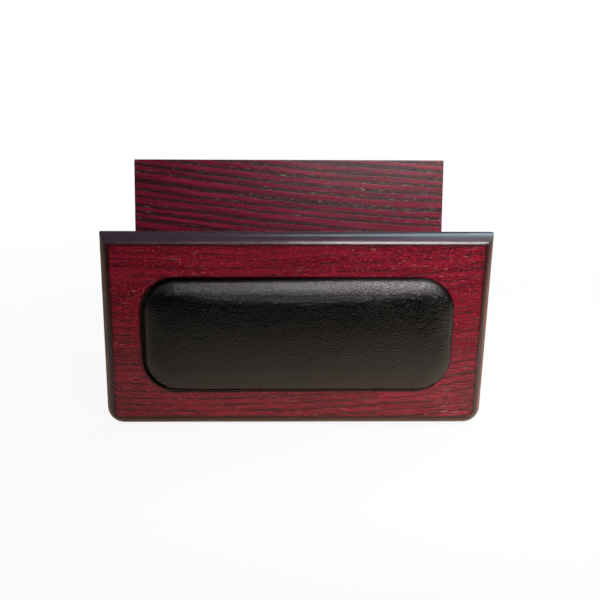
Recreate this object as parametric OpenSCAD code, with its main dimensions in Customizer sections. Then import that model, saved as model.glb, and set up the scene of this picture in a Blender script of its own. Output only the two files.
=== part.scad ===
// Desk letter rack: a padded front panel with a moulded edge and a taller back
// panel that leans back, both dowelled to a base board.
// Units are millimetres. The origin is on the desk, under the middle of the
// rack's outer box. The front faces -Y and +Z is up.

/* [Front panel] */
// Width of the front panel
front_w = 190; // [175:1:240]
// Height of the front panel
front_h = 98.5; // [92:0.5:115]
// Radius of the two bottom corners
corner_r = 8.5; // [7:0.5:14]
// Width of the rounded moulding along all four edges, seen from the front
mould_face_w = 4.5; // [3:0.1:4.8]
// Radius of the moulding; over its width, so it meets the ledge at an angle
mould_r = 7.2; // [6:0.1:8]
// Width of the flat ledge between the moulding and the veneer
ledge_w = 0.2; // [0.1:0.1:0.6]

/* [Board] */
// Thickness of the veneered board, with its two veneers
board_t = 9; // [8:0.5:12]
// Thickness of one veneer
veneer_t = 0.5; // [0.4:0.1:0.8]

/* [Back panel] */
// Width of the back panel
back_w = 178; // [172:1:190]
// Height of the back panel, along its slope
back_h = 126; // [105:0.5:150]
// Angle at which the back panel leans back
back_lean = 9; // [4:0.5:14]

/* [Base] */
// Clear distance between the two panels, at the base board's underside
gap = 62; // [45:1:80]
// Width of the base board
base_w = 172; // [150:1:172]

/* [Padded inset] */
// Width of the opening in the face veneer
opening_w = 153.4; // [130:0.2:160]
// Height of the opening
opening_h = 59.4; // [50:0.2:62]
// Corner radius of the opening
opening_r = 18; // [12:0.5:24]
// Height of the opening's centre above the panel's bottom edge
opening_z = 48.5; // [46:0.5:51]
// Width of the dark ledge between the veneer's opening and the pocket
rim_w = 0.7; // [0.2:0.1:1.2]
// Depth of the pocket, from the face of the veneer
pocket_d = 5; // [4:0.5:5.5]
// Gap beside the pad at each end when it is centred in the pocket
end_gap = 1; // [1:0.1:2]
// Gap above and below the pad
edge_gap = 0.4; // [0.2:0.1:1.5]
// How far the pad sits to the right of the pocket's centre
pad_shift = 0.9; // [0:0.1:0.9]
// How far the pad stands proud of the face
pad_proud = 5.5; // [3:0.5:7]
// Thickness of the leather
leather_t = 0.8; // [0.6:0.1:1.2]
// Thickness of the stiff board inside the pad
stiffener_t = 2; // [1.5:0.5:2.5]
// Width of the leather turned over behind the stiff board
turn_in = 10; // [6:1:14]

/* [Dowels and feet] */
// Diameter of the dowels
dowel_d = 5; // [4:0.5:5]
// Length of the dowels
dowel_l = 25; // [20:1:28]
// Distance between neighbouring dowels
dowel_pitch = 62; // [40:1:64]
// Diameter of the feet
foot_d = 12; // [8:1:14]
// Height of the feet, which is also the panels' height above the desk
foot_h = 1.5; // [1:0.25:3]
// Distance from the base board's edges to the feet's centres
foot_inset = 11; // [8:1:16]

/* [Hidden] */
$fn = 96;

stained_red = [0.42, 0.08, 0.13];
painted_edge = [0.16, 0.11, 0.12];
black_leather = [0.04, 0.04, 0.045];
bare_fibreboard = [0.55, 0.42, 0.30];
beech = [0.80, 0.65, 0.45];
pale_foam = [0.85, 0.80, 0.62];
dark_felt = [0.10, 0.10, 0.10];

eps = 0.5;                            // how far cutting tools run past a face
core_t = board_t - 2 * veneer_t;      // the fibreboard between the veneers
mould_w = mould_face_w + ledge_w;     // moulding and ledge together
mould_d = sqrt(mould_r ^ 2 - (mould_r - mould_face_w) ^ 2); // its depth
edge_ease = 0.6;                      // rounding of the back panel's edges
bore_clear = 0.3;                     // room for glue at the end of a bore
dowel_in_panel = 5;                   // length of a dowel inside a panel
dowel_x = [-dowel_pitch, 0, dowel_pitch];
foot_round = 0.5;                     // rounding of the feet's lower rim

// Outer box, front to back
slope_run = (back_h - edge_ease) * sin(back_lean)
    + (board_t - edge_ease) * cos(back_lean) + edge_ease;
total_depth = pad_proud + board_t + gap + slope_run;
face_y = -total_depth / 2 + pad_proud;      // front face of the front panel
rear_y = face_y + board_t;                  // rear face of the front panel
back_y = rear_y + gap;                      // lower front edge of the back panel

// Pocket and pad, seen from the front
pocket_w = opening_w - 2 * rim_w;
pocket_h = opening_h - 2 * rim_w;
pocket_r = opening_r - rim_w;
pad_w = pocket_w - 2 * end_gap;
pad_h = pocket_h - 2 * edge_gap;
pad_r = pocket_r - edge_gap;
pad_floor = pocket_d;                       // depth of the pad's back
stiffener_back = pad_floor - leather_t;
stiffener_front = stiffener_back - stiffener_t;
foam_front = leather_t - pad_proud;
foam_edge_r = 4.2;                          // rounding of the foam's front edge

// ---- outlines and helpers -------------------------------------------------

// A rectangle with four round corners, centred
module rounded_rect(w, h, r) {
    square([w - 2 * r, h], center = true);
    square([w, h - 2 * r], center = true);
    for (x = [-1, 1], y = [-1, 1])
        translate([x * (w / 2 - r), y * (h / 2 - r)]) circle(r);
}

// Stands a flat outline up: its Y becomes Z, and it is extruded from depth
// d1 to depth d2 behind the front face
module stand(d1, d2) {
    translate([0, d2, 0]) rotate([90, 0, 0]) linear_extrude(d2 - d1) children();
}

// A panel's outline with its two bottom corners rounded; y = 0 is the bottom
module panel_outline(w, h, r) {
    translate([-w / 2, r]) square([w, h - r]);
    translate([-w / 2 + r, 0]) square([w - 2 * r, h]);
    for (x = [-1, 1]) translate([x * (w / 2 - r), r]) circle(r);
}

// A quarter of a disc, in the quadrant that turn degrees from +x, +y gives
module quarter_disc(r, turn) {
    rotate(turn) intersection() {
        circle(r);
        square(r);
    }
}

// The moulding's own section: x runs in from the edge, y from the core's face
module mould_section() {
    intersection() {
        translate([mould_r, mould_d]) circle(mould_r);
        square([mould_face_w, mould_d]);
    }
}

// Section through the moulded core from one edge to the other: x runs across
// the width w and y runs from the core's face towards its rear
module core_section(w) {
    translate([0, mould_d]) square([w, core_t - mould_d]);
    translate([mould_face_w, 0]) square([w - 2 * mould_face_w, core_t]);
    mould_section();
    translate([w, 0]) mirror([1, 0, 0]) mould_section();
}

// A block with every edge rounded by r; x is centred, y and z start at 0
module eased_block(w, d, h, r) {
    intersection() {
        translate([0, 0, h / 2]) stand(0, d) rounded_rect(w, h, r);
        translate([0, d / 2, 0]) linear_extrude(h) rounded_rect(w, d, r);
        translate([-w / 2, d / 2, h / 2]) rotate([0, 90, 0]) linear_extrude(w)
            rounded_rect(h, d, r);
    }
}

// Places the front panel's pieces: y = 0 is its face, z = 0 its bottom edge
module at_front() {
    translate([0, face_y, foot_h]) children();
}

// Places the back panel's pieces: y = 0 is its face, z = 0 its lower edge
module at_back() {
    translate([0, back_y, foot_h]) rotate([-back_lean, 0, 0]) children();
}

// Everything above the level of the panels' bottom edges
module above_feet() {
    translate([-front_w, -total_depth, foot_h])
        cube([2 * front_w, 3 * total_depth, 2 * back_h]);
}

// Places a shape in the pocket's middle, as seen from the front
module in_pocket(shift) {
    translate([shift, 0, opening_z]) children();
}

// Three rods along Y from y1 to y2, halfway up the base board
module rods(y1, y2, d) {
    for (x = dowel_x)
        translate([x, y1, foot_h + board_t / 2])
            rotate([-90, 0, 0]) cylinder(h = y2 - y1, d = d);
}

// Where the back panel's face crosses the middle of the base board
back_face_mid_y = back_y + board_t / 2 * tan(back_lean);
// The dowels' ends: front ones, then back ones
front_rod = [rear_y - dowel_in_panel, rear_y - dowel_in_panel + dowel_l];
back_rod = [back_face_mid_y + dowel_in_panel - dowel_l, back_face_mid_y + dowel_in_panel];

// ---- front panel ----------------------------------------------------------

// The moulded core before it is cut: straight mouldings that mitre at the top
// corners, and turned ones around the two bottom corners
module moulded_core() {
    difference() {
        intersection() {
            translate([-front_w / 2, 0, 0]) linear_extrude(front_h) core_section(front_w);
            translate([-front_w / 2, 0, 0]) rotate([90, 0, 90]) mirror([1, -1, 0])
                linear_extrude(front_w) core_section(front_h);
        }
        for (x = [-1, 1])
            translate([x * front_w / 2, core_t / 2, 0])
                cube([2 * corner_r, 2 * core_t, 2 * corner_r], center = true);
    }
    for (x = [-1, 1])
        translate([x * (front_w / 2 - corner_r), 0, corner_r]) intersection() {
            rotate([-90, 0, 0]) rotate_extrude() turned_section();
            translate([x > 0 ? 0 : -corner_r, 0, -corner_r])
                cube([corner_r, core_t, corner_r]);
        }
}

// Half of the core's section around a bottom corner's axis
module turned_section() {
    square([corner_r - mould_face_w, core_t]);
    translate([0, mould_d]) square([corner_r, core_t - mould_d]);
    translate([corner_r, 0]) mirror([1, 0, 0]) mould_section();
}

module front_panel() {
    color(painted_edge) difference() {
        at_front() translate([0, veneer_t, 0]) difference() {
            moulded_core();
            in_pocket(0) stand(-eps, pocket_d - veneer_t)
                rounded_rect(pocket_w, pocket_h, pocket_r);
        }
        rods(rear_y - dowel_in_panel - bore_clear, rear_y + eps, dowel_d);
    }
}

module front_face_veneer() {
    color(stained_red) at_front() stand(0, veneer_t) difference() {
        translate([0, mould_w])
            panel_outline(front_w - 2 * mould_w, front_h - 2 * mould_w, corner_r - mould_w);
        translate([0, opening_z]) rounded_rect(opening_w, opening_h, opening_r);
    }
}

module front_rear_veneer() {
    color(stained_red) difference() {
        at_front() stand(board_t - veneer_t, board_t)
            panel_outline(front_w, front_h, corner_r);
        rods(rear_y - board_t, rear_y + eps, dowel_d);
    }
}

// ---- padded inset ---------------------------------------------------------

module pad_stiffener() {
    inner = 2 * leather_t;
    color(bare_fibreboard) at_front() in_pocket(pad_shift)
        stand(stiffener_front, stiffener_back)
            rounded_rect(pad_w - inner, pad_h - inner, pad_r - leather_t);
}

// The foam's block: its back edge is square and its front edge is rounded
module foam_block(w, h, r, front, back, edge) {
    stand(front + edge, back) rounded_rect(w, h, r);
    hull() for (x = [-1, 1], z = [-1, 1])
        translate([x * (w / 2 - r), front, z * (h / 2 - r)]) rotate([-90, 0, 0])
            rotate_extrude($fn = 40) cushion_corner(r, edge, edge + 0.01);
}

// Half section of one cushion corner, rounded at its front edge
module cushion_corner(r, edge, depth) {
    square([r - edge, depth]);
    translate([r - edge, edge]) quarter_disc(edge, -90, $fn = 24);
}

module pad_foam() {
    inner = 2 * leather_t;
    color(pale_foam) at_front() in_pocket(pad_shift)
        foam_block(pad_w - inner, pad_h - inner, pad_r - leather_t,
            foam_front, stiffener_front, foam_edge_r);
}

// Leather over the foam and the stiffener, turned in behind the stiffener
module pad_cover() {
    inner = 2 * leather_t;
    color(black_leather) at_front() in_pocket(pad_shift) difference() {
        foam_block(pad_w, pad_h, pad_r, -pad_proud, pad_floor, foam_edge_r + leather_t);
        foam_block(pad_w - inner, pad_h - inner, pad_r - leather_t,
            foam_front, stiffener_back, foam_edge_r);
        stand(stiffener_back - eps, pad_floor + eps)
            rounded_rect(pad_w - 2 * turn_in, pad_h - 2 * turn_in, pad_r - turn_in);
    }
}

// ---- back panel -----------------------------------------------------------

// The back panel's rounded block, reaching below the cut at its bottom edge
module back_blank() {
    reach = board_t;
    translate([0, 0, -reach]) eased_block(back_w, board_t, back_h + reach, edge_ease);
}

// One layer of the back panel, between two depths behind its face
module back_layer(d1, d2) {
    difference() {
        intersection() {
            at_back() intersection() {
                back_blank();
                translate([-back_w, d1, -back_h]) cube([2 * back_w, d2 - d1, 3 * back_h]);
            }
            above_feet();
        }
        rods(back_face_mid_y - board_t, back_face_mid_y + dowel_in_panel + bore_clear, dowel_d);
    }
}

module back_panel() {
    color(painted_edge) back_layer(veneer_t, board_t - veneer_t);
}

module back_face_veneer() {
    color(stained_red) back_layer(0, veneer_t);
}

module back_rear_veneer() {
    color(stained_red) back_layer(board_t - veneer_t, board_t);
}

// ---- base -----------------------------------------------------------------

// One layer of the base board between two heights above the panels' bottom
// edges; its rear edge is bevelled to meet the leaning panel
module base_layer(z1, z2) {
    translate([-base_w / 2, 0, foot_h]) rotate([90, 0, 90]) linear_extrude(base_w)
        polygon([
            [rear_y, z1],
            [back_y + z1 * tan(back_lean), z1],
            [back_y + z2 * tan(back_lean), z2],
            [rear_y, z2]
        ]);
}

module base_board() {
    color(painted_edge) difference() {
        base_layer(veneer_t, board_t - veneer_t);
        rods(rear_y - eps, front_rod[1] + bore_clear, dowel_d);
        rods(back_rod[0] - bore_clear, back_y + board_t, dowel_d);
    }
}

module base_top_veneer() {
    color(stained_red) base_layer(board_t - veneer_t, board_t);
}

module base_under_veneer() {
    color(stained_red) base_layer(0, veneer_t);
}

module front_dowels() {
    color(beech) rods(front_rod[0], front_rod[1], dowel_d);
}

module back_dowels() {
    color(beech) rods(back_rod[0], back_rod[1], dowel_d);
}

// One felt foot under a corner of the base board, with a rounded lower rim
module foot(side, y) {
    color(dark_felt) translate([side * (base_w / 2 - foot_inset), y, 0])
        rotate_extrude() {
            translate([0, foot_round]) square([foot_d / 2, foot_h - foot_round]);
            square([foot_d / 2 - foot_round, foot_h]);
            translate([foot_d / 2 - foot_round, foot_round]) circle(foot_round);
        }
}

foot_front_y = rear_y + foot_inset;
foot_back_y = back_y - foot_inset;

front_panel();
front_face_veneer();
front_rear_veneer();
pad_stiffener();
pad_foam();
pad_cover();
back_panel();
back_face_veneer();
back_rear_veneer();
base_board();
base_top_veneer();
base_under_veneer();
front_dowels();
back_dowels();
foot(-1, foot_front_y);  // foot_front_left
foot(1, foot_front_y);  // foot_front_right
foot(-1, foot_back_y);  // foot_back_left
foot(1, foot_back_y);  // foot_back_right
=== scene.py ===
import math

import bmesh
import bpy
from mathutils import Matrix, Vector


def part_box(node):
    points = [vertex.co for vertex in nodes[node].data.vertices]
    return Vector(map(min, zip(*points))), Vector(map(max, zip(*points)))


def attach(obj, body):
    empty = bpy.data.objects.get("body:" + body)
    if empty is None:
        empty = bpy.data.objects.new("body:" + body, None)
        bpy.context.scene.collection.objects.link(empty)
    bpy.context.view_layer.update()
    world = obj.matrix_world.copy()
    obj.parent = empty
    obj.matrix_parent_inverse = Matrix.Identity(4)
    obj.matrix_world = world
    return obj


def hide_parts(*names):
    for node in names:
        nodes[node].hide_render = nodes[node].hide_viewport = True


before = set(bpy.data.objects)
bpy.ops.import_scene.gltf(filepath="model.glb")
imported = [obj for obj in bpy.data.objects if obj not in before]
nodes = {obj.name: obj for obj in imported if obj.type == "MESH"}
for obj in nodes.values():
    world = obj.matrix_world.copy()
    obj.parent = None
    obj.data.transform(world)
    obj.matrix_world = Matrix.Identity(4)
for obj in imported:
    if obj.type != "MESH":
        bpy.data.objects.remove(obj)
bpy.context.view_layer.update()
scene = bpy.context.scene

MM = 0.001

# ---- sizes: places from the frame, and the shapes' own radii ----------------

core_low, core_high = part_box("front_panel")
face_low, face_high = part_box("front_face_veneer")
rear_low, rear_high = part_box("front_rear_veneer")
pad_low, pad_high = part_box("pad_cover")
foam_low, foam_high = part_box("pad_foam")
base_low, base_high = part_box("base_top_veneer")

PANEL_TOP = core_high.z
PANEL_BOTTOM = core_low.z
PANEL_HALF = core_high.x
FACE_Y = face_low.y
CORE_Y = core_low.y
BASE_TOP = base_high.z

MOULD_W = 4.5 * MM
MOULD_R = 7.2 * MM
LEDGE_W = 0.2 * MM
CORNER_R = 8.5 * MM
OPENING_W = 153.4 * MM
OPENING_H = 59.4 * MM
OPENING_R = 18 * MM
OPENING_Z = PANEL_BOTTOM + 48.5 * MM
RIM_W = 0.7 * MM
POCKET_D = 5 * MM
PAD_R = 16.9 * MM
BACK_LEAN = math.radians(9)

# points in a round stretch, and between the points of a straight one
CORNER_STEPS = 16
MOULD_STEPS = 14
TOP_STEPS = 48
SIDE_STEPS = 24
BOTTOM_STEPS = 44

CLOTH_FRAMES = 20

# ---- mesh helpers -----------------------------------------------------------


def add_object(name, mesh):
    piece = bpy.data.objects.new(name, mesh)
    scene.collection.objects.link(piece)
    return piece


def finish_mesh(bm, name, sharp_degrees=35):
    """Turns a bmesh into an object with outward normals, smooth but for its sharp edges."""
    bmesh.ops.recalc_face_normals(bm, faces=bm.faces)
    mesh = bpy.data.meshes.new(name)
    bm.to_mesh(mesh)
    bm.free()
    mesh.shade_smooth()
    mesh.set_sharp_from_angle(angle=math.radians(sharp_degrees))
    return add_object(name, mesh)


def add_loop(bm, points):
    return [bm.verts.new(p) for p in points]


def join_loops(bm, a, b):
    for i in range(len(a)):
        j = (i + 1) % len(a)
        bm.faces.new((a[i], a[j], b[j], b[i]))


def fill_between(bm, *loops):
    """Fills the flat area bounded by these closed loops of vertices."""
    edges = []
    for loop in loops:
        for i, vertex in enumerate(loop):
            other = loop[(i + 1) % len(loop)]
            edges.append(bm.edges.get((vertex, other)) or bm.edges.new((vertex, other)))
    bmesh.ops.triangle_fill(bm, use_beauty=True, use_dissolve=False, edges=edges)


def apply_modifiers(piece):
    """Replaces a piece's mesh with what its modifiers make of it."""
    graph = bpy.context.evaluated_depsgraph_get()
    made = bpy.data.meshes.new_from_object(piece.evaluated_get(graph))
    piece.modifiers.clear()
    old = piece.data
    piece.data = made
    bpy.data.meshes.remove(old)


def ease_edges(piece, width, segments=2, sharp_degrees=35):
    """Rounds a piece's sharp edges by a small width."""
    bevel = piece.modifiers.new("ease", "BEVEL")
    bevel.width = width
    bevel.segments = segments
    bevel.limit_method = "ANGLE"
    bevel.angle_limit = math.radians(sharp_degrees)
    bevel.harden_normals = True
    apply_modifiers(piece)


def arc(centre_x, centre_z, radius, start, end, steps):
    """Points on an arc, from one angle to the other in degrees, ends included."""
    found = []
    for i in range(steps + 1):
        angle = math.radians(start + (end - start) * i / steps)
        found.append((centre_x + radius * math.cos(angle), centre_z + radius * math.sin(angle)))
    return found


def spread(a, b, steps):
    """Points from a to b, with both ends left out."""
    return [
        (a[0] + (b[0] - a[0]) * i / steps, a[1] + (b[1] - a[1]) * i / steps)
        for i in range(1, steps)
    ]


def panel_outline(inset):
    """The front panel's outline pushed in by inset: square at the top, round at the bottom."""
    half = PANEL_HALF - inset
    top = PANEL_TOP - inset
    bottom = PANEL_BOTTOM + inset
    radius = CORNER_R - inset
    centre_x = PANEL_HALF - CORNER_R
    centre_z = PANEL_BOTTOM + CORNER_R
    right_arc = arc(centre_x, centre_z, radius, 0, -90, CORNER_STEPS)
    left_arc = arc(-centre_x, centre_z, radius, -90, -180, CORNER_STEPS)
    points = [(-half, top)] + spread((-half, top), (half, top), TOP_STEPS) + [(half, top)]
    points += spread((half, top), right_arc[0], SIDE_STEPS) + right_arc
    points += spread(right_arc[-1], left_arc[0], BOTTOM_STEPS) + left_arc
    points += spread(left_arc[-1], (-half, top), SIDE_STEPS)
    return points


def rounded_outline(width, height, radius, centre_x, centre_z, corner_steps=20, side_steps=(30, 6)):
    """A rounded rectangle's outline, seen from the front."""
    cx = width / 2 - radius
    cz = height / 2 - radius
    corners = [(cx, cz, 90, 0), (cx, -cz, 0, -90), (-cx, -cz, -90, -180), (-cx, cz, 180, 90)]
    arcs = [
        arc(centre_x + x, centre_z + z, radius, start, end, corner_steps)
        for x, z, start, end in corners
    ]
    points = []
    for i, corner in enumerate(arcs):
        points += corner
        steps = side_steps[1] if i % 2 == 0 else side_steps[0]
        points += spread(corner[-1], arcs[(i + 1) % 4][0], steps)
    return points


def at_depth(outline, y):
    """A flat outline's points, stood up at y."""
    return [Vector((x, y, z)) for x, z in outline]


# ---- shader helpers ---------------------------------------------------------


class Shader:
    """A material with short calls for the nodes that the surfaces here are made of."""

    def __init__(self, name, **fixed):
        self.material = bpy.data.materials.new(name)
        self.material.use_nodes = True
        self.tree = self.material.node_tree
        self.surface = self.tree.nodes["Principled BSDF"]
        for socket, value in fixed.items():
            self.surface.inputs[socket.replace("_", " ")].default_value = value
        self.place = self.tree.nodes.new("ShaderNodeTexCoord").outputs["Object"]
        split = self.tree.nodes.new("ShaderNodeSeparateXYZ")
        self.tree.links.new(self.scaled(self.place, 1 / MM), split.inputs[0])
        self.x, self.y, self.z = split.outputs

    def wire(self, value, socket):
        if isinstance(value, bpy.types.NodeSocket):
            self.tree.links.new(value, socket)
        else:
            socket.default_value = value

    def wire_all(self, values, sockets):
        for value, socket in zip(values, sockets):
            self.wire(value, socket)

    def scaled(self, vector, factor):
        node = self.tree.nodes.new("ShaderNodeVectorMath")
        node.operation = "SCALE"
        self.wire(vector, node.inputs[0])
        self.wire(factor, node.inputs["Scale"])
        return node.outputs[0]

    def math(self, operation, a, b=0.0):
        node = self.tree.nodes.new("ShaderNodeMath")
        node.operation = operation
        self.wire_all((a, b), node.inputs)
        return node.outputs[0]

    def add(self, *values):
        total = values[0]
        for value in values[1:]:
            total = self.math("ADD", total, value)
        return total

    def times(self, *values):
        total = values[0]
        for value in values[1:]:
            total = self.math("MULTIPLY", total, value)
        return total

    def combine(self, x, y, z):
        node = self.tree.nodes.new("ShaderNodeCombineXYZ")
        self.wire_all((x, y, z), node.inputs)
        return node.outputs[0]

    def noise(self, vector, scale=1.0, detail=2.0, roughness=0.5):
        node = self.tree.nodes.new("ShaderNodeTexNoise")
        self.wire(vector, node.inputs["Vector"])
        self.wire(scale, node.inputs["Scale"])
        self.wire(detail, node.inputs["Detail"])
        self.wire(roughness, node.inputs["Roughness"])
        return node.outputs[0]

    def cells(self, vector, scale):
        node = self.tree.nodes.new("ShaderNodeTexVoronoi")
        self.wire(vector, node.inputs["Vector"])
        self.wire(scale, node.inputs["Scale"])
        return node.outputs["Distance"]

    def step(self, value, low, high, to_low=0.0, to_high=1.0):
        """A smooth step of value between low and high."""
        node = self.tree.nodes.new("ShaderNodeMapRange")
        node.interpolation_type = "SMOOTHSTEP"
        names = ("Value", "From Min", "From Max", "To Min", "To Max")
        self.wire_all((value, low, high, to_low, to_high), [node.inputs[n] for n in names])
        return node.outputs[0]

    def mix(self, factor, a, b):
        node = self.tree.nodes.new("ShaderNodeMix")
        node.data_type = "RGBA"
        self.wire_all((factor, a, b), (node.inputs[0], node.inputs[6], node.inputs[7]))
        return node.outputs[2]

    def bump(self, height, distance, normal=None):
        node = self.tree.nodes.new("ShaderNodeBump")
        self.wire(height, node.inputs["Height"])
        node.inputs["Strength"].default_value = 1.0
        node.inputs["Distance"].default_value = distance
        if normal is not None:
            self.wire(normal, node.inputs["Normal"])
        return node.outputs[0]

    def set(self, **values):
        for socket, value in values.items():
            self.wire(value, self.surface.inputs[socket.replace("_", " ")])


def outside_opening(s):
    """How far a point is outside the face veneer's opening, in mm, near its edge."""
    x = s.add(s.math("ABSOLUTE", s.x), (OPENING_R - OPENING_W / 2) / MM)
    z = s.add(s.math("ABSOLUTE", s.add(s.z, -OPENING_Z / MM)), (OPENING_R - OPENING_H / 2) / MM)
    x = s.math("MAXIMUM", x, 0.0)
    z = s.math("MAXIMUM", z, 0.0)
    return s.add(s.math("SQRT", s.add(s.times(x, x), s.times(z, z))), -OPENING_R / MM)


def edge_stain(s):
    """How dark the face veneer is stained along its outer edges, from 0 to 1."""
    # distances in mm from the veneer's outer edges
    frame_w = (MOULD_W + LEDGE_W) / MM
    side = s.add(PANEL_HALF / MM - frame_w, s.times(s.math("ABSOLUTE", s.x), -1.0))
    above = s.add(s.z, -PANEL_BOTTOM / MM - frame_w)
    below = s.add(PANEL_TOP / MM - frame_w, s.times(s.z, -1.0))
    near = s.math("MINIMUM", side, s.math("MINIMUM", above, below))
    return s.step(near, 0.3, 1.5, 0.75, 0.0)


def colour(red, green, blue):
    """An sRGB colour, 0 to 255, as the linear colour that a shader takes."""
    linear = []
    for c in (red, green, blue):
        linear.append(((c / 255 + 0.055) / 1.055) ** 2.4 if c > 10 else c / 255 / 12.92)
    return (*linear, 1.0)


# ---- materials --------------------------------------------------------------


def streaks(s, along, across, along_rate, across_rate, seed, detail=2.0):
    """Noise in streaks, from how often it changes per mm along and across them."""
    place = s.combine(s.times(along, along_rate), s.times(across, across_rate), seed)
    return s.noise(place, detail=detail)


def veneer_place(s, figure, seed, framed):
    """Where a point lies on its board, in mm: its height, how far it is across the growth
    rings, and how far along them."""
    height = s.times(s.z, 1 / math.cos(figure["lean"]))
    if not framed:
        # on a board that lies flat, the rings follow each other along Y
        lying = s.step(s.add(s.z, -BASE_TOP / MM), 0.0, 0.3, 1.0, 0.0)
        height = s.add(height, s.times(s.y, lying))
    drift = streaks(s, s.x, height, 0.018, 0.03, seed, detail=1.0)
    wobble = streaks(s, s.x, height, 0.06, 0.22, seed + 5)
    across = s.add(
        height,
        s.times(s.x, figure["slope"]),
        s.times(s.x, s.x, figure["curve"]),
        s.times(drift, figure["drift"]),
        s.times(wobble, 1.1),
    )
    along = s.add(s.x, s.times(s.y, 0.6))
    return height, across, along


def growth_rings(s, figure, seed, across, along, calm):
    """How dark each ring's porous side is, which starts sharply and fades upwards, and the thin
    broken dark line along its sharp edge."""
    uneven = s.noise(s.combine(seed, s.times(across, 0.12), 0.0), detail=1.0)
    phase = s.add(s.times(across, 1 / figure["period"]), s.times(uneven, 0.9))
    place = s.math("FRACT", phase)
    ring = s.times(s.step(place, 0.0, 0.10), s.step(place, *figure["porous"], 1.0, 0.0))
    which = s.noise(s.combine(s.math("FLOOR", phase), seed, s.times(s.x, 0.010)), 3.1, detail=0.0)
    broken = streaks(s, along, across, 0.055, 0.8, seed + 9)
    steady = figure["steady"]
    ring = s.times(ring, s.step(which, 0.25, 0.60, steady, 1.0))
    ring = s.times(ring, s.step(broken, 0.30, 0.50, steady, 1.0))
    ring = s.times(ring, s.add(1.0, s.times(calm, -0.85)))
    gaps = streaks(s, along, across, 0.11, 0.55, seed + 6)
    line = s.times(s.step(place, 0.0, 0.04), s.step(place, 0.10, 0.20, 1.0, 0.0))
    return ring, s.times(line, s.step(gaps, 0.46, 0.54))


def painted_pore_glints(s, figure, seed, height, across, along, ring):
    """Painted glints on open pores, in loose groups that gather towards the top right,
    where the light falls.
    """
    dots = streaks(s, along, across, 0.20, 2.1, seed + 7, detail=1.0)
    group = streaks(s, s.x, height, 0.03, 0.06, seed + 8, detail=1.0)
    # the groups gather towards the top right, where the light falls: painted glints
    group = s.add(group, s.times(s.x, 0.0009), s.times(height, 0.0012))
    pore_glint = s.times(s.step(dots, 0.65, 0.71), s.step(group, 0.50, 0.66))
    return s.times(pore_glint, s.add(figure["dashes"], s.times(ring, 1 - figure["dashes"])))


def veneer_material(name, figure, seed, framed=False):
    """Red-stained ash veneer with its growth rings along X. A framed veneer has dark edges.

    In figure, slope and curve (per mm) tilt and bend the rings and drift (mm) sways them, period
    is their spacing in mm, porous is where in a ring its dark side fades, depth is how dark
    that side is and steady how little it changes, and quiet is the two heights in mm between
    which the rings fade out and pale flecks, painted glints, come in. stroke and line are how
    dark the long strokes and the rings' edges are, dashes is how many of the painted glints on
    the pores lie outside the dark sides, lean is how far the panel leans back, gloss is the
    least roughness and specular how strongly the lacquer reflects.
    """
    s = Shader(name, Specular_IOR_Level=figure["specular"])
    height, across, along = veneer_place(s, figure, seed, framed)
    calm = s.step(height, *figure["quiet"])
    ring, line = growth_rings(s, figure, seed, across, along, calm)
    pore_glint = painted_pore_glints(s, figure, seed, height, across, along, ring)

    # pores: dark strokes of 8 to 30 mm, 2 to 8 mm and 1 to 3 mm, crowded in the porous side
    long = s.step(streaks(s, along, across, 0.06, 1.2, seed + 1), 0.55, 0.60)
    long = s.times(long, s.add(1.0, s.times(calm, -0.55)), figure["stroke"])
    short = s.step(streaks(s, along, across, 0.22, 2.0, seed + 2), 0.52, 0.58)
    grain = streaks(s, along, across, 0.8, 2.4, seed + 3)
    hair = s.step(grain, 0.51, 0.58)
    crowd = s.add(0.7, s.times(ring, 0.5))
    fine = s.times(s.add(s.times(short, 0.5), s.times(hair, 0.5)), crowd)
    pores = s.add(long, fine, s.times(line, figure["line"]))

    # colour: mottled wood with bright grain, pale flecks where it is calm, which are painted
    # glints, then the dark marks
    dark = colour(*figure["dark"])
    mottle = streaks(s, along, across, 0.02, 0.30, seed + 4, detail=3.0)
    bright = s.times(s.step(grain, 0.38, 0.46, 1.0, 0.0), 0.6)
    # pale flecks in the calm upper part of the face: painted glints
    glint_flecks = s.times(s.step(grain, 0.34, 0.42, 1.0, 0.0), calm, 0.36)
    streak = s.add(0.8, s.times(short, 0.2))
    base = s.mix(s.step(mottle, 0.35, 0.65), colour(*figure["deep"]), colour(*figure["light"]))
    base = s.mix(bright, base, colour(*figure["bright"]))
    base = s.mix(glint_flecks, base, colour(205, 84, 98))
    base = s.mix(s.times(ring, streak, figure["depth"]), base, dark)
    base = s.mix(pores, base, dark)
    # painted glints on the pores, in a pale pink
    base = s.mix(s.times(pore_glint, 0.42), base, colour(205, 160, 150))
    if framed:
        base = s.mix(edge_stain(s), base, colour(30, 11, 13))
    rough = s.add(figure["gloss"], s.times(pores, 0.14), s.times(mottle, 0.06))
    relief = s.add(s.times(pores, -1.0), s.times(ring, -0.5), s.times(pore_glint, -0.5))
    s.set(Base_Color=base, Roughness=rough, Normal=s.bump(relief, 0.014 * MM))
    return s.material


def pocket_colour(s, depth):
    """The pocket's near black, painted shade in the recess and on its rim, with a line of red stain
    on its edge that ends above the bottom and is painted only over the upper part, where it
    catches the light; and how much of it a point takes: 1 inside the opening, 0 outside."""
    outside = outside_opening(s)
    edge = s.times(s.step(outside, -0.60, -0.46, 1.0, 0.0), s.step(depth, 0.9, 1.8, 1.0, 0.0))
    # the red line only over the upper part, where it catches the light; the rest is painted shade
    upper = s.step(s.z, OPENING_Z / MM - 24.0, OPENING_Z / MM - 16.0)
    shade_and_stain = s.mix(s.times(edge, upper), colour(4, 3, 3), colour(110, 20, 20))
    return shade_and_stain, s.step(outside, 0.1, 0.5, 1.0, 0.0)


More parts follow.
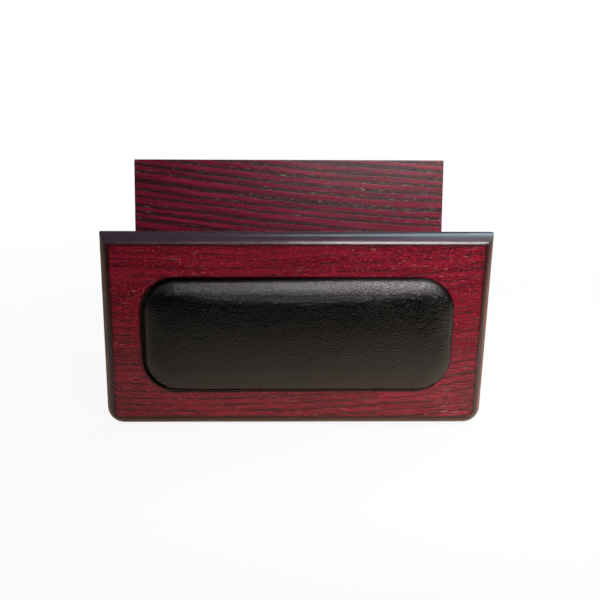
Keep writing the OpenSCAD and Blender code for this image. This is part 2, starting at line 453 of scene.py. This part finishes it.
def paint_material(name):
    """Dark brown paint under satin lacquer on shaped fibreboard.

    The front panel's moulding is near black next to the veneer and lighter brown further out,
    a painted reflection of the pale floor and room beside and below it, where it is also rubbed
    matte; along the top it is a purple grey instead, a painted reflection of the bluish light
    above.
    """
    s = Shader(name, Specular_IOR_Level=0.5)
    cloud = s.noise(s.place, scale=60.0, detail=3.0)
    speck = s.noise(s.place, scale=900.0, detail=2.0)
    fibres = s.noise(s.place, scale=2600.0, detail=2.0)
    smear = s.noise(s.place, scale=170.0, detail=4.0)

    # where it is: on the front panel, on the moulding's outer part, which takes a painted
    # reflection and is rubbed matte, and on the moulding along the top
    depth = s.add(s.y, -CORE_Y / MM)
    front = s.step(depth, 12.0, 14.0, 1.0, 0.0)
    outer_reflection_and_wear = s.times(s.step(s.add(depth, s.times(cloud, 0.8)), 1.2, 2.5), front)
    outer_reflection_and_wear = s.times(outer_reflection_and_wear, s.step(depth, 3.2, 6.5, 1.0, 0.25))
    top_edge = s.times(s.step(s.z, PANEL_TOP / MM - 5.6, PANEL_TOP / MM - 4.6), front)

    # the lighter brown of the outer part is a painted reflection of the pale floor and room
    brown = s.mix(s.step(cloud, 0.35, 0.70), colour(98, 56, 48), colour(122, 76, 66))
    brown = s.mix(s.times(s.step(speck, 0.62, 0.72), 0.5), brown, colour(96, 70, 60))
    base = s.mix(outer_reflection_and_wear, colour(44, 16, 18), brown)
    # along the top, a purple grey: a painted reflection of the bluish light above
    base = s.mix(top_edge, base, s.mix(cloud, colour(50, 33, 42), colour(64, 44, 54)))
    # inside the opening: the pocket's painted shade and its red edge
    pocket, inside = pocket_colour(s, depth)
    base = s.mix(s.times(inside, front), base, pocket)

    worn = s.times(outer_reflection_and_wear, s.add(1.0, s.times(top_edge, -1.0)))
    rough = s.add(0.16, s.times(smear, 0.14), s.times(worn, 0.30))
    slow = s.bump(s.noise(s.place, scale=90.0, detail=1.0), 0.12 * MM)
    peel = s.bump(s.noise(s.place, scale=700.0, detail=2.0), 0.010 * MM, slow)
    s.set(Base_Color=base, Roughness=rough, Normal=s.bump(fibres, 0.003 * MM, peel))
    return s.material


def leather_material(name):
    """Black leather: a fine pebble grain with creases between the pebbles."""
    s = Shader(name, Specular_IOR_Level=0.5)
    wander = s.noise(s.place, scale=420.0, detail=1.0)
    warped = s.combine(
        s.add(s.x, s.times(wander, 1.1)),
        s.add(s.y, s.times(wander, 0.9)),
        s.add(s.z, s.times(wander, -1.0)),
    )
    pebbles = s.cells(warped, 1.6)
    grains = s.cells(warped, 3.1)
    patches = s.noise(s.place, scale=36.0, detail=3.0)
    base = s.mix(s.step(patches, 0.35, 0.70), colour(4, 4, 4), colour(9, 8, 8))
    # the creases between the pebbles painted near black: painted shade
    base = s.mix(s.step(pebbles, 0.30, 0.60), base, colour(1, 1, 1))
    rough = s.add(0.12, s.times(patches, 0.04), s.times(pebbles, 0.06))
    relief = s.add(s.times(pebbles, -1.0), s.times(grains, -0.4))
    soft = s.bump(s.noise(s.place, scale=330.0, detail=2.0), 0.03 * MM)
    s.set(Base_Color=base, Roughness=rough, Normal=s.bump(relief, 0.12 * MM, soft))
    return s.material


def bare_board_material(name, low, high, grain_mm):
    """Bare wood or board with short fibres."""
    s = Shader(name, Roughness=0.8, Specular_IOR_Level=0.3)
    stretched = s.combine(s.times(s.x, 1 / grain_mm), s.times(s.y, 0.15), s.times(s.z, 3.0))
    fibres = s.noise(stretched, detail=3.0)
    s.set(Base_Color=s.mix(s.step(fibres, 0.3, 0.7), low, high), Normal=s.bump(fibres, 0.05 * MM))
    return s.material


def felt_material(name):
    """Dense black felt with a short pile."""
    s = Shader(name, Roughness=0.95, Specular_IOR_Level=0.2, Sheen_Weight=0.3)
    pile = s.noise(s.place, scale=2600.0, detail=4.0, roughness=0.7)
    base = s.mix(pile, colour(20, 20, 21), colour(58, 57, 58))
    s.set(Base_Color=base, Normal=s.bump(pile, 0.2 * MM))
    return s.material


def foam_material(name):
    """Pale open-cell foam."""
    s = Shader(name, Roughness=0.9, Specular_IOR_Level=0.2)
    pores = s.cells(s.place, 1600.0)
    # darker in the middle of each pore: painted shade in its hollow
    s.set(
        Base_Color=s.mix(s.step(pores, 0.2, 0.6), colour(150, 135, 95), colour(228, 214, 170)),
        Normal=s.bump(pores, 0.15 * MM),
    )
    return s.material


FRONT_FIGURE = {
    "slope": -0.045,
    "curve": -0.00045,
    "drift": 5.0,
    "period": 3.7,
    "porous": (0.12, 0.45),
    "depth": 0.55,
    "quiet": (34.0, 62.0),
    "stroke": 0.42,
    "line": 0.8,
    "steady": 0.5,
    "dashes": 0.6,
    "lean": 0.0,
    "gloss": 0.22,
    "specular": 0.4,
    "deep": (97, 9, 26),
    "light": (128, 16, 39),
    "bright": (160, 28, 51),
    "dark": (27, 8, 13),
}
BACK_FIGURE = {
    "slope": 0.10,
    "curve": -0.00028,
    "drift": 3.0,
    "period": 4.5,
    "porous": (0.36, 0.68),
    "depth": 1.0,
    "quiet": (900.0, 990.0),
    "stroke": 0.25,
    "line": 0.6,
    "steady": 0.9,
    "dashes": 0.12,
    "lean": BACK_LEAN,
    "gloss": 0.19,
    "specular": 0.3,
    "deep": (100, 10, 32),
    "light": (130, 18, 50),
    "bright": (150, 30, 66),
    "dark": (27, 9, 20),
}
# the faces between the panels, and the base's underside: the back's figure in a much darker red,
# painted shade that also throws less red light onto the back panel's lower part
SHADED_INNER_FIGURE = {
    **BACK_FIGURE,
    "slope": 0.02,
    "curve": 0.0002,
    "lean": 0.0,
    "deep": (52, 8, 16),
    "light": (74, 12, 24),
    "bright": (84, 18, 32),
    "dark": (20, 8, 12),
}

front_veneer = veneer_material("front_veneer", FRONT_FIGURE, seed=3.0, framed=True)
back_veneer = veneer_material("back_veneer", BACK_FIGURE, seed=21.0)
shaded_inner_veneer = veneer_material("shaded_inner_veneer", SHADED_INNER_FIGURE, seed=37.0)
paint = paint_material("dark_paint")
leather = leather_material("black_leather")
foam = foam_material("pale_foam")
hardboard = bare_board_material(
    "hardboard", colour(120, 88, 58), colour(158, 120, 84), grain_mm=4.0
)
beech = bare_board_material("beech", colour(196, 160, 112), colour(222, 190, 146), grain_mm=8.0)
felt = felt_material("black_felt")


def paint_node(name, material):
    """Gives a CAD node's object one material."""
    slots = nodes[name].data.materials
    slots.clear()
    slots.append(material)


def dress(piece, material, slot, *replaced):
    """Gives a piece its material, the CAD nodes it stands for and its body; slot is not used."""
    piece.data.materials.clear()
    piece.data.materials.append(material)
    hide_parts(*replaced)
    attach(piece, "root")


paint_node("back_panel", paint)
paint_node("back_face_veneer", back_veneer)
paint_node("back_rear_veneer", back_veneer)
paint_node("base_board", paint)
paint_node("base_top_veneer", shaded_inner_veneer)
paint_node("base_under_veneer", shaded_inner_veneer)
paint_node("front_dowels", beech)
paint_node("back_dowels", beech)
paint_node("pad_stiffener", hardboard)
for foot in ("foot_front_left", "foot_front_right", "foot_back_left", "foot_back_right"):
    paint_node(foot, felt)

# ---- front panel ------------------------------------------------------------


def opening_outline(inset):
    """The face veneer's opening, pushed in by inset; the pocket is the rim's width further in."""
    return rounded_outline(
        OPENING_W - 2 * inset, OPENING_H - 2 * inset, OPENING_R - inset, 0.0, OPENING_Z
    )


def front_core():
    """The board with its rounded moulding, the ledge beside it and the routed pocket."""
    bm = bmesh.new()
    sweep = math.acos(1 - MOULD_W / MOULD_R)
    mould_rear = CORE_Y + MOULD_R * math.sin(sweep)
    profile = [(0.0, core_high.y), (0.0, mould_rear)]
    for i in range(1, MOULD_STEPS + 1):
        angle = sweep * i / MOULD_STEPS
        inset = MOULD_R * (1 - math.cos(angle))
        profile.append((inset, mould_rear - MOULD_R * math.sin(angle)))
    under_veneer = MOULD_W + 2 * LEDGE_W
    profile.append((under_veneer, CORE_Y))
    loops = [add_loop(bm, at_depth(panel_outline(inset), y)) for inset, y in profile]
    for outer, inner in zip(loops, loops[1:]):
        join_loops(bm, outer, inner)
    floor_y = FACE_Y + POCKET_D
    rim = add_loop(bm, at_depth(opening_outline(RIM_W), CORE_Y))
    floor = add_loop(bm, at_depth(opening_outline(RIM_W), floor_y))
    fill_between(bm, loops[-1], rim)
    join_loops(bm, rim, floor)
    fill_between(bm, floor)
    fill_between(bm, loops[0])
    piece = finish_mesh(bm, "front_core")
    ease_edges(piece, width=0.18 * MM)
    dress(piece, paint, "painted_edge", "front_panel")


def front_face():
    """The face veneer, from the ledge to the opening, with its cut edges just broken."""
    bm = bmesh.new()
    inset = MOULD_W + LEDGE_W
    outer = [add_loop(bm, at_depth(panel_outline(inset), y)) for y in (CORE_Y, FACE_Y)]
    hole = [add_loop(bm, at_depth(opening_outline(0.0), y)) for y in (CORE_Y, FACE_Y)]
    join_loops(bm, outer[0], outer[1])
    join_loops(bm, hole[0], hole[1])
    fill_between(bm, outer[1], hole[1])
    fill_between(bm, outer[0], hole[0])
    piece = finish_mesh(bm, "front_face")
    ease_edges(piece, width=0.12 * MM)
    dress(piece, front_veneer, "stained_veneer", "front_face_veneer")


def front_rear():
    """The rear veneer, flush with the core's edges."""
    bm = bmesh.new()
    loops = [add_loop(bm, at_depth(panel_outline(0.0), y)) for y in (rear_low.y, rear_high.y)]
    join_loops(bm, loops[0], loops[1])
    fill_between(bm, loops[0])
    fill_between(bm, loops[1])
    piece = finish_mesh(bm, "front_rear")
    ease_edges(piece, width=0.2 * MM)
    dress(piece, shaded_inner_veneer, "stained_veneer", "front_rear_veneer")


front_core()
front_face()
front_rear()

# ---- padded inset -----------------------------------------------------------

PAD_X = (pad_low.x + pad_high.x) / 2
PAD_Z = (pad_low.z + pad_high.z) / 2
PAD_W = pad_high.x - pad_low.x
PAD_H = pad_high.z - pad_low.z


def pad_form(name, shrink, rise, back):
    """A closed rounded block: straight sides from back, then the shoulder's profile, with its
    heights raised by rise in mm."""
    bm = bmesh.new()
    rings = [(0.0, back)]
    rings += [(inset * MM, FACE_Y - (height + rise) * MM) for inset, height in SHOULDER]
    loops = []
    for inset, y in rings:
        outline = rounded_outline(
            PAD_W - 2 * (shrink + inset),
            PAD_H - 2 * (shrink + inset),
            max(PAD_R - shrink - inset, 1 * MM),
            PAD_X,
            PAD_Z,
        )
        loops.append(add_loop(bm, at_depth(outline, y)))
    for outer, inner in zip(loops, loops[1:]):
        join_loops(bm, outer, inner)
    fill_between(bm, loops[0])
    fill_between(bm, loops[-1])
    return finish_mesh(bm, name, sharp_degrees=80)


def remesh(piece, voxel):
    """Replaces a closed piece's mesh with an even one of small squares."""
    modifier = piece.modifiers.new("remesh", "REMESH")
    modifier.mode = "VOXEL"
    modifier.voxel_size = voxel
    modifier.use_smooth_shade = True
    apply_modifiers(piece)


def swell(piece, pressure, most, hold_behind):
    """Blows a closed piece up as cloth, keeps what lies behind hold_behind where it is, and lets
    no point move further than most."""
    rest = [v.co.copy() for v in piece.data.vertices]
    group = piece.vertex_groups.new(name="held")
    for v in piece.data.vertices:
        weight = min(1.0, max(0.0, (v.co.y - hold_behind) / (1.0 * MM)))
        if weight > 0:
            group.add([v.index], weight, "REPLACE")
    cloth = piece.modifiers.new("cloth", "CLOTH")
    settings = cloth.settings
    settings.quality = 6
    settings.mass = 0.3
    settings.tension_stiffness = 40
    settings.compression_stiffness = 40
    settings.shear_stiffness = 20
    settings.bending_stiffness = 5
    settings.use_pressure = True
    settings.uniform_pressure_force = pressure
    settings.effector_weights.gravity = 0.0
    settings.vertex_group_mass = "held"
    cloth.collision_settings.use_collision = False
    cloth.point_cache.frame_start = 1
    cloth.point_cache.frame_end = CLOTH_FRAMES
    for number in range(1, CLOTH_FRAMES + 1):
        scene.frame_set(number)
    apply_modifiers(piece)
    for v, home in zip(piece.data.vertices, rest):
        move = v.co - home
        if move.length > most:
            v.co = home + move * (most / move.length)
    piece.vertex_groups.clear()
    scene.frame_set(1)


def smooth(piece, repeat):
    modifier = piece.modifiers.new("smooth", "SMOOTH")
    modifier.factor = 0.5
    modifier.iterations = repeat
    apply_modifiers(piece)


def subdivide(piece):
    modifier = piece.modifiers.new("subdivide", "SUBSURF")
    modifier.levels = 1
    modifier.render_levels = 1
    apply_modifiers(piece)


# insets from a pad's side and heights over the panel's face, in mm
SHOULDER = (
    (0.0, -1.5),
    (0.0, 0.3),
    (0.1, 0.75),
    (0.3, 1.2),
    (0.6, 1.6),
    (1.0, 1.98),
    (1.6, 2.38),
    (2.4, 2.80),
    (3.4, 3.20),
    (4.5, 3.55),
    (5.8, 3.86),
    (7.2, 4.08),
    (9.0, 4.22),
    (11.0, 4.28),
)


def ease(value, low, high):
    """A smooth step from 0 at low to 1 at high."""
    share = min(1.0, max(0.0, (value - low) / (high - low)))
    return share * share * (3 - 2 * share)


def lean_out(piece, left, right, bottom, top_left, top_right):
    """Moves a pad's sides, where they stand over the face, out over the pocket's dark rim, or in
    from it where the distance is negative."""
    for v in piece.data.vertices:
        over = ease((FACE_Y - v.co.y) / MM, -0.4, 0.3)
        across = (v.co.x - PAD_X) / PAD_W
        upright = (v.co.z - PAD_Z) / PAD_H
        top = top_left + (top_right - top_left) * ease(across, -0.3, 0.3)
        v.co.x += over * (right * ease(across, 0.2, 0.48) - left * ease(-across, 0.2, 0.48))
        v.co.z += over * (top * ease(upright, 0.1, 0.45) - bottom * ease(-upright, 0.1, 0.45))


def dome(piece, height):
    """Raises the middle of a pad, so that it is crowned all over."""
    for v in piece.data.vertices:
        across = 2 * (v.co.x - PAD_X) / PAD_W
        upright = (v.co.z - PAD_Z) / PAD_H
        raised = ease((FACE_Y - v.co.y) / MM, 0.0, 3.0) * height
        v.co.y -= raised * max(0.0, math.cos(math.pi * upright)) * max(0.0, 1 - across ** 4)


def pad_leather():
    """The leather over the foam: swelled as cloth, held where it goes down into the pocket."""
    piece = pad_form("pad_leather", shrink=0.05 * MM, rise=0.0, back=pad_high.y)
    remesh(piece, voxel=1.0 * MM)
    dome(piece, height=1.6 * MM)
    swell(piece, pressure=4.0, most=0.15 * MM, hold_behind=FACE_Y - 0.2 * MM)
    smooth(piece, repeat=4)
    subdivide(piece)
    lean_out(
        piece,
        left=0.3 * MM,
        right=1.3 * MM,
        bottom=-0.2 * MM,
        top_left=-0.35 * MM,
        top_right=0.5 * MM,
    )
    piece.data.shade_smooth()
    dress(piece, leather, "leather", "pad_cover")


def pad_foam():
    """The foam block on the stiff board, a little inside the leather."""
    piece = pad_form("pad_foam_block", shrink=1.2 * MM, rise=-1.0, back=foam_high.y)
    dress(piece, foam, "foam", "pad_foam")


pad_leather()
pad_foam()

# ---- floor, light and camera ------------------------------------------------

scene.view_settings.view_transform = "Standard"


def card(name, low_x, high_x, low_y, high_y, z):
    """A flat level card."""
    bm = bmesh.new()
    corners = ((low_x, low_y), (high_x, low_y), (high_x, high_y), (low_x, high_y))
    bm.faces.new([bm.verts.new((x, y, z)) for x, y in corners])
    mesh = bpy.data.meshes.new(name)
    bm.to_mesh(mesh)
    bm.free()
    return add_object(name, mesh)


def stage_floor():
    """A pale floor. The camera sees it run out into a white background, and the rack meets it
    as a warm grey table."""
    piece = card("floor", -6, 6, -6, 6, 0.0)
    material = bpy.data.materials.new("pale_floor")
    material.use_nodes = True
    tree = material.node_tree
    tree.nodes.clear()
    add = tree.nodes.new
    link = tree.links.new
    seen = add("ShaderNodeBsdfDiffuse")
    seen.inputs["Color"].default_value = (0.86, 0.86, 0.86, 1)
    glow = add("ShaderNodeEmission")
    place = add("ShaderNodeTexCoord")
    reach = add("ShaderNodeVectorMath")
    reach.operation = "LENGTH"
    link(place.outputs["Object"], reach.inputs[0])
    fade = add("ShaderNodeMapRange")
    fade.interpolation_type = "SMOOTHSTEP"
    fade.inputs["From Min"].default_value = 0.05
    fade.inputs["From Max"].default_value = 0.6
    fade.inputs["To Min"].default_value = 0.90
    link(reach.outputs["Value"], fade.inputs["Value"])
    pale = add("ShaderNodeMixShader")
    link(fade.outputs[0], pale.inputs[0])
    link(seen.outputs[0], pale.inputs[1])
    link(glow.outputs[0], pale.inputs[2])
    table = add("ShaderNodeBsdfDiffuse")
    table.inputs["Color"].default_value = (1.05, 0.83, 0.64, 1)
    path = add("ShaderNodeLightPath")
    both = add("ShaderNodeMixShader")
    link(path.outputs["Is Camera Ray"], both.inputs[0])
    link(table.outputs[0], both.inputs[1])
    link(pale.outputs[0], both.inputs[2])
    link(both.outputs[0], add("ShaderNodeOutputMaterial").inputs[0])
    piece.data.materials.append(material)


def dark_flag():
    """A black card on the floor in front, seen only in the rack's reflections. It thins out
    towards the rack."""
    near, far = -0.115, -0.23
    piece = card("dark_flag", -2.5, 2.5, -4.0, near, 0.002)
    s = Shader("black_card", Roughness=1.0, Specular_IOR_Level=0.0)
    s.set(Base_Color=(0.01, 0.01, 0.012, 1), Alpha=s.step(s.y, near / MM, far / MM))
    piece.data.materials.append(s.material)
    piece.visible_camera = False
    piece.visible_shadow = False


def softbox(name, azimuth, elevation, distance, size, glow, tint=(1, 1, 1), aim_x=0.0, spread=180):
    """An area light of this brightness and beam angle, aimed at the rack. Azimuth 0 is in front
    of it, and positive is to the right."""
    light = bpy.data.lights.new(name, "AREA")
    light.shape = "RECTANGLE"
    light.size, light.size_y = size
    light.energy = glow * math.pi * size[0] * size[1]
    light.color = tint
    light.spread = math.radians(spread)
    lamp = bpy.data.objects.new(name, light)
    scene.collection.objects.link(lamp)
    a = math.radians(azimuth)
    e = math.radians(elevation)
    away = Vector((math.sin(a) * math.cos(e), -math.cos(a) * math.cos(e), math.sin(e)))
    lamp.location = Vector((0, 0, 0.07)) + away * distance
    facing = lamp.location - Vector((aim_x, 0, 0.07))
    lamp.rotation_mode = "QUATERNION"
    lamp.rotation_quaternion = facing.to_track_quat("Z", "Y")
    lamp.visible_camera = False


def studio():
    """A dark room that the camera sees as white, and the softboxes."""
    world = bpy.data.worlds.new("studio")
    world.use_nodes = True
    tree = world.node_tree
    background = tree.nodes["Background"]
    path = tree.nodes.new("ShaderNodeLightPath")
    mix = tree.nodes.new("ShaderNodeMix")
    mix.data_type = "RGBA"
    mix.inputs[6].default_value = (0.045, 0.055, 0.07, 1)
    mix.inputs[7].default_value = (1.0, 1.0, 1.0, 1)
    tree.links.new(path.outputs["Is Camera Ray"], mix.inputs[0])
    tree.links.new(mix.outputs[2], background.inputs["Color"])
    scene.world = world
    # name, azimuth, elevation, distance, size, glow, colour, then where it aims and its spread
    softbox("key", 28, 33, 0.53, (0.32, 0.23), 3.2, (1.0, 0.95, 0.92), 0.17, 80)
    softbox("high_front", 11, 35.5, 1.1, (0.66, 0.07), 12.0, (1.0, 0.92, 0.88))
    softbox("right_high", 19, 49, 1.0, (0.25, 0.22), 3.0, (1.0, 0.95, 0.93))
    softbox("left", -55, 42, 1.1, (0.24, 0.24), 3.4, (0.74, 0.92, 1.0))
    softbox("behind_right", 142, 50, 1.2, (0.5, 1.3), 4.4, (0.58, 0.90, 1.0))
    softbox("above", 66, 63, 0.76, (0.4, 0.28), 2.4, (0.72, 0.92, 1.0))


def camera():
    """The camera, in front of the rack, above it and a little left of its middle."""
    data = bpy.data.cameras.new("camera")
    data.lens = 47.47
    data.sensor_width = 36.0
    data.shift_x = 0.0631
    data.clip_start = 0.01
    view = bpy.data.objects.new("camera", data)
    scene.collection.objects.link(view)
    view.location = (-23.2 * MM, FACE_Y - 368.0 * MM, 172.5 * MM)
    pitch = math.radians(15.85)
    yaw = math.radians(-0.996)
    roll = math.radians(0.324)
    turn = Matrix.Rotation(yaw, 4, "Z") @ Matrix.Rotation(math.pi / 2 - pitch, 4, "X")
    view.rotation_mode = "QUATERNION"
    view.rotation_quaternion = (turn @ Matrix.Rotation(roll, 4, "Z")).to_quaternion()
    scene.camera = view


stage_floor()
dark_flag()
studio()
camera()
